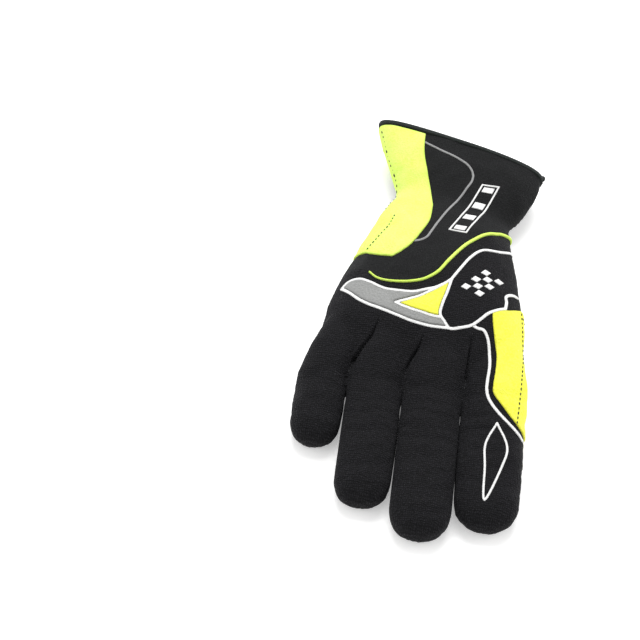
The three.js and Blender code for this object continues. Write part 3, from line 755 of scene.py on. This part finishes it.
# Lengths in metres. yarn, patch and speck are sizes; the shares say how strongly each layer covers.
plainCloth = {
    "yarn": 0.0007, "fuzz": 0.6, "patch": 0.014, "speck": 0.0011, "patchShare": 0.6, "speckShare": 0.5,
    "gapShare": 0.5, "rough": 0.75, "roughSpan": 0.2, "bump": 0.5, "bumpHeight": 0.0003, "broad": 0.3,
    "broadHeight": 0.0008, "sheen": 0.2, "sheenTint": (0.6, 0.6, 0.65), "specular": 0.25, "rim": 0.0,
}
cloths = {
    "knit": {"colour": (0.0026, 0.0026, 0.0034), "worn": (0.0046, 0.0044, 0.0058),
        "light": (0.046, 0.044, 0.051), "dark": (0.0008, 0.0008, 0.001), "sheen": 0.04, "yarn": 0.001,
        "gapShare": 0.8, "bumpHeight": 0.0005, "bump": 0.75, "speck": 0.0012, "speckShare": 0.55, "broad": 0.45,
        "specular": 0.15},
    "ribbed": {"colour": (0.009, 0.0094, 0.0097), "worn": (0.013, 0.0134, 0.0138),
        "light": (0.05, 0.051, 0.053), "dark": (0.0012, 0.0014, 0.0014), "sheen": 0.04, "yarn": 0.0008,
        "gapShare": 0.7, "bumpHeight": 0.0004, "bump": 0.7, "speck": 0.0013, "speckShare": 0.4, "broad": 0.25,
        "specular": 0.14},
    "suede": {"colour": (0.042, 0.038, 0.035), "worn": (0.07, 0.063, 0.057), "light": (0.09, 0.08, 0.072),
        "dark": (0.015, 0.013, 0.012), "yarn": 0.0004},
    "lime": {"colour": (0.66, 0.91, 0.1), "worn": (0.77, 0.95, 0.24), "light": (0.84, 0.98, 0.34),
        "dark": (0.4, 0.58, 0.03), "gapShare": 0.3, "rim": 0.35, "sheen": 0.1, "sheenTint": (0.9, 1, 0.5),
        "yarn": 0.0006},
    "yellow": {"colour": (0.86, 0.87, 0.045), "worn": (0.9, 0.92, 0.11), "light": (0.93, 0.95, 0.22),
        "dark": (0.6, 0.58, 0.015), "gapShare": 0.3, "rim": 0.35, "sheen": 0.1, "sheenTint": (1, 1, 0.5),
        "yarn": 0.0006},
    "grey": {"colour": (0.25, 0.255, 0.245), "worn": (0.3, 0.305, 0.295), "light": (0.38, 0.38, 0.38),
        "dark": (0.17, 0.17, 0.17), "gapShare": 0.3, "rim": 0.3},
    "greyPrint": {"colour": (0.21, 0.21, 0.21), "worn": (0.27, 0.27, 0.27), "light": (0.34, 0.34, 0.34),
        "dark": (0.2, 0.2, 0.2), "gapShare": 0.2},
    "whitePrint": {"colour": (0.8, 0.8, 0.79), "worn": (0.7, 0.7, 0.69), "light": (0.9, 0.9, 0.89),
        "dark": (0.45, 0.45, 0.45), "gapShare": 0.2, "sheen": 0.0, "rough": 0.55},
    "binding": {"colour": (0.006, 0.0095, 0.0075), "worn": (0.009, 0.014, 0.011), "light": (0.018, 0.025, 0.02),
        "dark": (0.002, 0.003, 0.0025)},
    "blackThread": {"colour": (0.01, 0.01, 0.012), "worn": (0.02, 0.02, 0.02), "light": (0.04, 0.04, 0.04),
        "dark": (0.003, 0.003, 0.003)},
    "greyThread": {"colour": (0.06, 0.056, 0.052), "worn": (0.08, 0.075, 0.07), "light": (0.12, 0.115, 0.11),
        "dark": (0.02, 0.02, 0.02)},
    "greenThread": {"colour": (0.012, 0.018, 0.015), "worn": (0.02, 0.026, 0.023),
        "light": (0.035, 0.045, 0.04), "dark": (0.004, 0.006, 0.005)},
}
(knit, ribbed, suede, lime, yellow, grey, greyPrint, whitePrint, binding,
 blackThread, greyThread, greenThread) = (
    cloth(name, {**plainCloth, **values}) for name, values in cloths.items())

print("panels")
seamPoints, seamTriangles = topPoints, topTriangles
thin = skinSetup["wall"]


def panel(name, points, triangles, material, slotName, node):
    flat = np.zeros(len(points))
    finished(name, *walled(points, triangles, flat, flat - thin), material, slotName, (node,))
    print(" ", name, len(triangles))


def fourchetteField(k):
    def side(line, sign):
        start, end = line[crotchStation + 4], line[-1]
        across = np.array([-heading[1], heading[0]]) * sign
        near, far = 0.45 * start[atHalf], start[atHalf] + 0.68
        first = start[:2] - heading * 2.9
        last = end[:2] + heading * end[atHalf] * 0.58
        return np.array([first + across * near, first + across * far, last + across * far, last + across * near])
    return (side(fingers[k], 1), side(fingers[k + 1], -1))


for k, name in enumerate(("little", "middle", "index")):
    one, other = fourchetteField(k)

    def between(points, one=one, other=other):
        return np.minimum(np.maximum(insideOf(one, points), insideOf(other, points)), 10.5 - points[:, 2])
    panel("fourchette" + name.title(), *part(topPoints, topTriangles, between), knit, "knit", "fourchette_" + name)
    topPoints, topTriangles = part(topPoints, topTriangles, between, False)


def area(run):
    return lambda points: insideOf(run, points)


inCuff, inCuffPalm = area(cuffBackArea), area(cuffPalmArea)
panel("backOfHand", *part(topPoints, topTriangles, inCuff, False), knit, "knit", "back_of_hand")
panel("cuffBack", *part(topPoints, topTriangles, inCuff), ribbed, "knit", "cuff_back")
panel("palmPanel", *part(lowPoints, lowTriangles, inCuffPalm, False), suede, "suede", "palm")
panel("cuffPalm", *part(lowPoints, lowTriangles, inCuffPalm), ribbed, "knit", "cuff_palm")

print("trim")


# A thin piece on the skin, over an area where its field is more than 0. round is the width of its rounded edge.
def patch(name, field, base, values, material, slotName, *nodes):
    points, triangles = base
    for margin in (1.6,) + (0.6,) * values["fine"]:
        if margin < 1:
            points, triangles = refined(points, triangles)
        points, triangles = kept(points, triangles, field(points)[triangles].max(1) > -margin)
    points, triangles = part(points, triangles, field)
    rounded = values["round"]
    for share in (0.25, 0.6, 1.0):
        points, triangles = cutAlong(points, triangles, field(points) - rounded * share)
    reach = np.clip(field(points), 0, None)
    t = np.clip(reach / rounded, 0, 1)
    height = values["height"] * (0.3 + 0.7 * np.sqrt(np.clip(1 - (1 - t) ** 2, 0, 1)))
    made = walled(points, triangles, height, np.full(len(points), -skinSetup["under"]))
    rim = np.exp(-reach / skinSetup["rim"])
    finished(name, *made, material, slotName, nodes, {"rim": np.concatenate([rim, rim])})
    print(" ", name, len(made[1]))


# The binding's reach, less a little that the strap goes under it.
clearOfBinding = pastCuffEdge(3.3)
strapArea = np.vstack([
    bodyCurve([(-0.42, 1.06), (-0.43, 0.992), (-0.47, 0.906), (-0.48, 0.832), (-0.44, 0.761), (-0.3, 0.688)]),
    bodyCurve([(-0.26, 0.642), (-0.24, 0.59), (-0.29, 0.526), (-0.35, 0.472), (-0.43, 0.437)]),
    bodyCurve([(-0.5, 0.418), (-0.65, 0.422), (-0.78, 0.431), (-0.92, 0.447), (-1.5, 0.458)], 4),
    onBody([-1.8, -1.8], [0.458, 1.06]),
])
strapEndArea = onBody([-1.8, -0.62, -0.5, -0.44, -1.8], [0.93, 0.9, 0.95, 1.05, 1.05])
strapTrimLine = bodyCurve([
    (-0.6, 0.96), (-0.46, 0.943), (-0.29, 0.928), (-0.03, 0.911), (0.1, 0.895), (0.165, 0.872), (0.17, 0.839),
    (0.11, 0.791), (-0.03, 0.693), (-0.12, 0.601), (-0.16, 0.55), (-0.19, 0.519), (-0.26, 0.5), (-0.35, 0.488),
])
bandTop = bodyCurve([
    (-0.9, 0.296), (-0.85, 0.318), (-0.74, 0.322), (-0.62, 0.31), (-0.5, 0.295), (-0.39, 0.288), (-0.19, 0.291),
    (-0.05, 0.307), (0.05, 0.321), (0.16, 0.348), (0.205, 0.363),
])
bandBase = bodyCurve([
    (-0.9, 0.296), (-0.79, 0.272), (-0.67, 0.245), (-0.55, 0.228), (-0.34, 0.209), (-0.13, 0.193), (0.07, 0.186),
    (0.25, 0.189),
])
fieldBase = bodyCurve([(0.25, 0.189), (0.31, 0.191), (0.45, 0.21), (0.54, 0.238), (0.63, 0.272), (0.79, 0.309)])
fieldStep = bodyCurve([(0.79, 0.309), (0.805, 0.338), (0.805, 0.36), (0.88, 0.382), (0.95, 0.392)])
fieldTop = bodyCurve([(0.98, 0.59), (0.78, 0.545), (0.53, 0.517), (0.38, 0.466), (0.28, 0.41), (0.205, 0.363)])
fieldSide = bodyCurve([(0.205, 0.363), (0.18, 0.314), (0.15, 0.266), (0.145, 0.23), (0.2, 0.207), (0.25, 0.189)])
insertTop = bodyCurve([(-0.31, 0.244), (-0.08, 0.284), (0.1, 0.33), (0.205, 0.363)])
insertBase = bodyCurve([(-0.31, 0.244), (-0.16, 0.232), (0.07, 0.221), (0.145, 0.22)])
indexLine = bodyCurve([
    (0.47, 0.215), (0.53, 0.208), (0.59, 0.206), (0.64, 0.185), (0.68, 0.15), (0.72, 0.098), (0.745, 0.043),
    (0.77, 0.01), (0.82, -0.023), (0.91, -0.055), (1.03, -0.085), (1.2, -0.12),
])
indexPanelArea = np.vstack([
    bodyCurve([
        (0.66, 0.285), (0.66, 0.265), (0.675, 0.232), (0.71, 0.187), (0.76, 0.139), (0.79, 0.083),
        (0.815, 0.03), (0.84, 0.006), (0.91, -0.02), (1.01, -0.052), (1.12, -0.08), (1.3, -0.12),
    ]),
    onBody([1.5, 1.5, 0.97, 0.82], [-0.12, 0.35, 0.347, 0.308]),
])
outlineRuns = [bandTop, bandBase, fieldBase, fieldStep, fieldTop, fieldSide, insertTop, insertBase]
insertWhole = np.vstack([insertTop, fieldSide[1:31], insertBase[::-1]])
bandWhole = np.vstack([bandTop, fieldSide, bandBase[::-1]])


def nearRuns(runs, half):
    return lambda points: half - np.min([distanceTo(run, points)[0] for run in runs], axis=0)


def allOf(*fields):
    return lambda points: np.min([field(points) for field in fields], axis=0)


def outside(field, clearance=0.15):
    return lambda points: -field(points) - clearance


printLine = {"halfWhite": 0.76, "halfGrey": 0.62, "halfMark": 0.55}
outlineField = nearRuns(outlineRuns, printLine["halfWhite"])
indexLineField = nearRuns([indexLine], printLine["halfWhite"])


# Half the piping's width grows from its free end to the side seam.
def pipingField(points):
    distance, share = distanceTo(pipingLine, points)
    return 0.5 + 0.42 * np.clip(share * 2, 0, 1) - distance


strapField = allOf(area(strapArea), clearOfBinding)
top, low = (topPoints, topTriangles), (lowPoints, lowTriangles)
clothEdge = {"fine": 1, "round": 0.8, "height": 0.95}
printEdge = {"fine": 2, "round": 0.4, "height": 0.5}
patch("wristStrap", allOf(strapField, overSeam), top, clothEdge, lime, "lime_trim", "wrist_strap")
patch("strapEnd", allOf(area(strapEndArea), clearOfBinding, outside(overSeam, 0)), low, clothEdge, lime,
      "lime_trim", "strap_end")
patch("strapTrim", allOf(nearRuns([strapTrimLine], printLine["halfGrey"]), outside(strapField)), top, printEdge,
      greyPrint, "grey_print", "strap_trim")
patch("cuffPiping", pipingField, top, {"fine": 2, "round": 0.8, "height": 1.0}, lime, "lime_trim",
      "cuff_piping")
patch("knuckleBand", allOf(area(bandWhole), outside(area(insertWhole), 0), outside(outlineField)), top,
      clothEdge, grey, "grey_trim", "knuckle_band")
patch("knuckleInsert", allOf(area(insertWhole), outside(outlineField)), top, clothEdge, yellow, "yellow_trim",
      "knuckle_insert")
patch("knuckleOutline", outlineField, top, printEdge, whitePrint, "white_print", "knuckle_outline")
patch("indexPanel", allOf(area(indexPanelArea), outside(outlineField), overSeam, outside(indexLineField)), top,
      clothEdge, yellow, "yellow_trim", "index_panel")
patch("indexOutline", allOf(indexLineField, outside(outlineField)), top, printEdge, whitePrint, "white_print",
      "index_outline")

print("marks")
markSetup = {
    "cuff": {"from": (9.5, 92.0), "to": (23.5, 133.0), "width": 9.5, "bars": 7, "slant": 3.4},
    "field": {"at": (27.0, 60.0), "turn": 52, "cell": 3.7, "across": 5, "up": 3, "slant": 0.35},
    "index": [(44.6, -15.5), (51.0, -27.0), (49.8, -38.0), (43.6, -57.5), (41.6, -40.0), (40.4, -27.5)],
}


# A run of slanted bars inside a slanted frame, every other one filled.
def cuffMark(points):
    values = markSetup["cuff"]
    start, end = np.array(values["from"]), np.array(values["to"])
    along = (end - start) / np.linalg.norm(end - start)
    across = np.array([-along[1], along[0]])
    v = (points[:, :2] - start) @ across
    u = (points[:, :2] - start) @ along + v * values["slant"] / values["width"]
    length, half = np.linalg.norm(end - start), values["width"] / 2
    frameEdge = np.minimum(np.minimum(u, length - u), half - np.abs(v))
    step = length / values["bars"]
    cell = np.minimum(u % step, step - u % step)
    filled = np.floor(u / step) % 2 == 0
    bars = np.where(filled, np.minimum(cell - 0.7, frameEdge - 1.9), -9)
    return np.maximum(np.minimum(frameEdge, 0.95 - frameEdge), bars)


# A slanted patch of small squares, filled in turn.
def fieldMark(points):
    values = markSetup["field"]
    turn = math.radians(values["turn"])
    along = np.array([math.cos(turn), math.sin(turn)])
    v = (points[:, :2] - values["at"]) @ np.array([-along[1], along[0]])
    u = (points[:, :2] - values["at"]) @ along + v * values["slant"]
    cell = values["cell"]
    u, v = u / cell + values["across"] / 2, v / cell + values["up"] / 2
    inside = (u > 0) & (u < values["across"]) & (v > 0) & (v < values["up"])
    edge = np.minimum(0.5 - np.abs(u % 1 - 0.5), 0.5 - np.abs(v % 1 - 0.5)) * cell - 0.18
    filled = inside & ((np.floor(u) + np.floor(v)) % 2 == 0)
    return np.where(filled, edge, -np.abs(edge) - 0.05)


indexMark = curve(markSetup["index"] + markSetup["index"][:1], 6)
patch("cuffMark", cuffMark, top, printEdge, whitePrint, "white_print")
patch("fieldMark", fieldMark, top, printEdge, whitePrint, "white_print")
patch("indexMark", nearRuns([indexMark], printLine["halfMark"]), top, printEdge, whitePrint, "white_print")

print("stitches")


# A row of stitches along a path: unevenly long beads of thread.
def stitchTree():
    tree, given, out = newGroup("stitches", "GeometryNodeTree", {
        "Path": "Geometry", "Pitch": "Float", "Length": "Float", "Radius": "Float", "Uneven": "Float",
        "Thread": "Material",
    }, {"Stitches": "Geometry"})
    path = addNode(tree, "GeometryNodeMeshToCurve", {"Mesh": given["Path"]})
    spaced = addNode(tree, "GeometryNodeResampleCurve", {"Curve": path.outputs["Curve"], "Length": given["Pitch"]},
                     mode="LENGTH")
    ball = addNode(tree, "GeometryNodeMeshUVSphere", {"Segments": 8, "Rings": 5, "Radius": 1})
    stretch = addNode(tree, "ShaderNodeCombineXYZ", {
        "X": mathNode(tree, "MULTIPLY", given["Length"], 0.5), "Y": given["Radius"], "Z": given["Radius"]})
    shaped = addNode(tree, "GeometryNodeTransform", {
        "Geometry": ball.outputs["Mesh"], "Scale": stretch.outputs[0]})
    tangent = addNode(tree, "GeometryNodeInputTangent")
    turn = addNode(tree, "FunctionNodeAlignRotationToVector", {"Vector": tangent.outputs[0]}, axis="X")
    uneven = addNode(tree, "FunctionNodeRandomValue", {
        "Seed": 7, 2: mathNode(tree, "SUBTRACT", 1, given["Uneven"]), 3: 1}, data_type="FLOAT")
    placed = addNode(tree, "GeometryNodeInstanceOnPoints", {
        "Points": spaced.outputs["Curve"], "Instance": shaped.outputs["Geometry"],
        "Rotation": turn.outputs["Rotation"], "Scale": uneven.outputs[1]})
    real = addNode(tree, "GeometryNodeRealizeInstances", {"Geometry": placed.outputs["Instances"]})
    smooth = addNode(tree, "GeometryNodeSetShadeSmooth", {"Geometry": real.outputs["Geometry"]})
    dressed = addNode(tree, "GeometryNodeSetMaterial", {
        "Geometry": smooth.outputs["Geometry"], "Material": given["Thread"]})
    setInputs(tree, out, {"Stitches": dressed.outputs["Geometry"]})
    return tree


sewing = stitchTree()


# Stitches along one or more runs of points. Lengths are in millimetres.
def stitches(name, runs, pitch, length, radius, thread, uneven=0.25):
    points, edges, start = [], [], 0
    for run in runs:
        points += ((np.asarray(run) + np.array(size["inRow"])) * mm).tolist()
        edges += [(start + i, start + i + 1) for i in range(len(run) - 1)]
        start += len(run)
    mesh = bpy.data.meshes.new("path")
    mesh.from_pydata(points, edges, [])
    path = bpy.data.objects.new("path", mesh)
    bpy.context.collection.objects.link(path)
    sewn = path.modifiers.new("sewing", "NODES")
    sewn.node_group = sewing
    values = {"Pitch": pitch * mm, "Length": length * mm, "Radius": radius * mm, "Uneven": uneven,
              "Thread": thread}
    for item in sewing.interface.items_tree:
        if item.in_out == "INPUT" and item.name in values:
            sewn[item.identifier] = values[item.name]
    made = bpy.data.meshes.new_from_object(path.evaluated_get(bpy.context.evaluated_depsgraph_get()))
    bpy.data.objects.remove(path)
    row = bpy.data.objects.new(name, made)
    made.name = name
    bpy.context.collection.objects.link(row)
    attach(row, root)
    print(" ", name, len(made.polygons))


# Points on top of the skin over a run of plan points, lifted off it.
def onSkin(run, lift):
    found = []
    for x, y in run:
        hit = skinTree.ray_cast(Vector((x, y, 90)), Vector((0, 0, -1)))
        if hit[0] is not None:
            found.append(tuple(hit[0]))
    found = np.array(found)
    return found + skinNormalAt(found) * lift


# The side seam's run round the glove, in order, from the edge of the upper skin.
def sideSeam():
    following = dict(boundaryEdges(seamTriangles))
    best = []
    while following:
        start, run = next(iter(following)), []
        while start in following:
            run.append(start)
            start = following.pop(start)
        best = max(best, run, key=len)
    run = seamPoints[best]
    away = pastCuffEdge(4)(run)
    first = int(np.argmin(away))
    run = np.roll(run, -first, axis=0)
    run = run[pastCuffEdge(4)(run) > 0]
    for i in range(3):
        run[1:-1] = (run[:-2] + run[1:-1] * 2 + run[2:]) / 4
    return run


seam = sideSeam()
seamOut = seam + skinNormalAt(seam) * 0.1
stitches("seamStitches", [seamOut], 2.6, 1.9, 0.28, blackThread)
rimRun = seam - (0, 0, 2.4)
rimRun = np.array([skinTree.find_nearest(Vector(p))[0] for p in rimRun])
rimRun[:, 2] = np.maximum(rimRun[:, 2], 0.35)
stitches("palmRimStitches", [rimRun + skinNormalAt(rimRun) * 0.05], 3.0, 2.0, 0.26, greyThread)
stitches("strapStitches", [
    onSkin(bodyCurve([(-0.75, 0.6), (-0.745, 0.55), (-0.79, 0.5), (-0.83, 0.455)]), 1.05),
], 2.3, 1.6, 0.4, blackThread)
stitches("strapEdgeStitches", [
    onSkin(bodyCurve([(-0.975, 0.955), (-0.98, 0.86), (-0.985, 0.77), (-0.985, 0.7), (-0.98, 0.64)]), 0.95),
], 3.3, 2.3, 0.5, blackThread, 0.7)
stitches("indexStitches", [
    onSkin(curve([(49.0, 52), (50.8, 40), (52.5, 26), (53.4, 12), (53.8, 2), (54.0, -12)]), 1.05),
], 2.6, 1.9, 0.4, blackThread)
stitches("indexTopStitches", [
    onSkin(curve([(50.4, 53), (51.6, 55.4), (52.4, 58)]), 0.6), onSkin(curve([(50.2, 50), (52.2, 47)]), 0.9),
], 1.9, 1.7, 0.42, blackThread)
stitches("dartStitches", [onSkin(run[5:-14], 0.1) for run in darts], 2.0, 1.5, 0.2, blackThread)
stitches("bindingStitches", [bodyRing(lastRow - 2.7 / edgeRowLength, 0.78, fineSides)], 2.4, 1.7, 0.2,
         greenThread)

print("thumb")
thumbPoints, thumbTriangles = united([tipped(thumb)], skinSetup["voxel"])
thumbPoints = smoothed(thumbPoints, thumbTriangles, 6)
thumbTriangles = facingOut(thumbPoints, thumbTriangles)
lump = noiseAt(thumbPoints, 12, 4.4) * 0.4 + noiseAt(thumbPoints, 4, 2.4) * 0.15
thumbPoints = thumbPoints + normalsOf(thumbPoints, thumbTriangles) * lump[:, None]
thumbPoints[:, 2] = np.maximum(thumbPoints[:, 2], 0.1)


def overThumbSeam(points):
    distance, share = distanceTo(thumb[:, :2], points)
    return points[:, 2] - np.interp(share, np.linspace(0, 1, len(thumb)), thumb[:, 5])


for name, node, material, slotName, upper in (("thumbBack", "thumb_back", knit, "knit", False),
                                              ("thumbPalm", "thumb_palm", suede, "suede", True)):
    points, triangles = part(thumbPoints, thumbTriangles, overThumbSeam, upper)
    finished(name, points, triangles, material, slotName, (node,))

print("binding")


def bindingRings():
    profile = [(3.4, 0.1), (3.35, 0.5), (3.0, 0.7), (2.0, 0.8), (0.8, 0.8), (-0.2, 0.55), (-0.7, 0.0),
               (-1.1, -0.9), (-0.9, -1.9), (-0.2, -2.4), (1.0, -2.6), (3.0, -2.5), (4.3, -2.3), (4.5, -1.4)]
    sides = 220
    rings = []
    for inset, offset in profile:
        place = lastRow - max(inset, 0) / edgeRowLength
        rings.append(bodyRing(place, offset, sides, past=max(-inset, 0)))
    rings = np.array(rings)
    faces = []
    count = len(profile)
    for r in range(count):
        for k in range(sides):
            a, b = r * sides + k, r * sides + (k + 1) % sides
            c, d = ((r + 1) % count) * sides + k, ((r + 1) % count) * sides + (k + 1) % sides
            faces.append((a, b, d, c))
    return rings.reshape(-1, 3), faces


points, faces = bindingRings()
finished("cuffBinding", points, faces, binding, "binding", ("cuff_binding",))


# The small folded end of the side seam at the thumb's end of the cuff's edge.
tackSetup = {"reach": -0.2, "past": 0.4, "radii": (1.9, 1.7, 1.3), "sides": 24}


def seamTack(values):
    at = bodyRing(lastRow, values["reach"], fineSides, past=values["past"])[2]
    turn = np.arange(values["sides"]) * 2 * math.pi / values["sides"]
    across, up = np.sign(np.cos(turn)) * np.abs(np.cos(turn)) ** 0.7, np.sin(turn)
    rings = []
    for angle in np.linspace(-math.pi / 2, math.pi / 2, 13):
        wide, high = max(math.cos(angle), 0.01) ** 0.6, math.sin(angle)
        along = np.sign(high) * abs(high) ** 0.7 * np.ones(len(turn))
        rings.append(at + np.stack([wide * across, along, wide * up], -1) * values["radii"])
    points, faces = tube(rings[::-1])
    finished("seamTack", points, faces, binding, "binding")


seamTack(tackSetup)


# The floor, the lights and the air. A lamp has a place, an aim, a width and a power.
floorSetup = {"size": 6.0, "colour": (0.86, 0.86, 0.855), "glow": 0.33, "air": 0.745}
lightSetup = [
    ("above", (-0.1, 0.75, 1.0), (0, 0, 0), 0.8, 15.0),
    ("left", (-1.1, -0.1, 0.9), (0, 0, 0), 1.4, 3.6),
    ("right", (1.0, 0.3, 0.7), (0, 0, 0), 0.6, 2.5),
]


def makeStage():
    half = floorSetup["size"] / 2
    floor = meshObject("floor", [(-half, -half, 0), (half, -half, 0), (half, half, 0), (-half, half, 0)],
                       [(0, 1, 2, 3)])
    material = bpy.data.materials.new("floor")
    material.use_nodes = True
    setInputs(material.node_tree, material.node_tree.nodes["Principled BSDF"], {
        "Base Color": (*floorSetup["colour"], 1),
        "Roughness": 0.9,
        "Specular IOR Level": 0.1,
        "Emission Color": (1, 1, 1, 1),
        "Emission Strength": floorSetup["glow"],
    })
    floor.data.materials.append(material)
    for name, at, aim, width, power in lightSetup:
        data = bpy.data.lights.new(name, "AREA")
        data.size = width
        data.energy = power
        lamp = bpy.data.objects.new(name, data)
        lamp.location = at
        lamp.rotation_euler = (Vector(aim) - Vector(at)).to_track_quat("-Z", "Y").to_euler()
        bpy.context.collection.objects.link(lamp)
    world = bpy.data.worlds.new("air")
    world.use_nodes = True
    setInputs(world.node_tree, world.node_tree.nodes["Background"], {0: (1, 1, 1, 1), 1: floorSetup["air"]})
    bpy.context.scene.world = world


makeStage()

print("done")
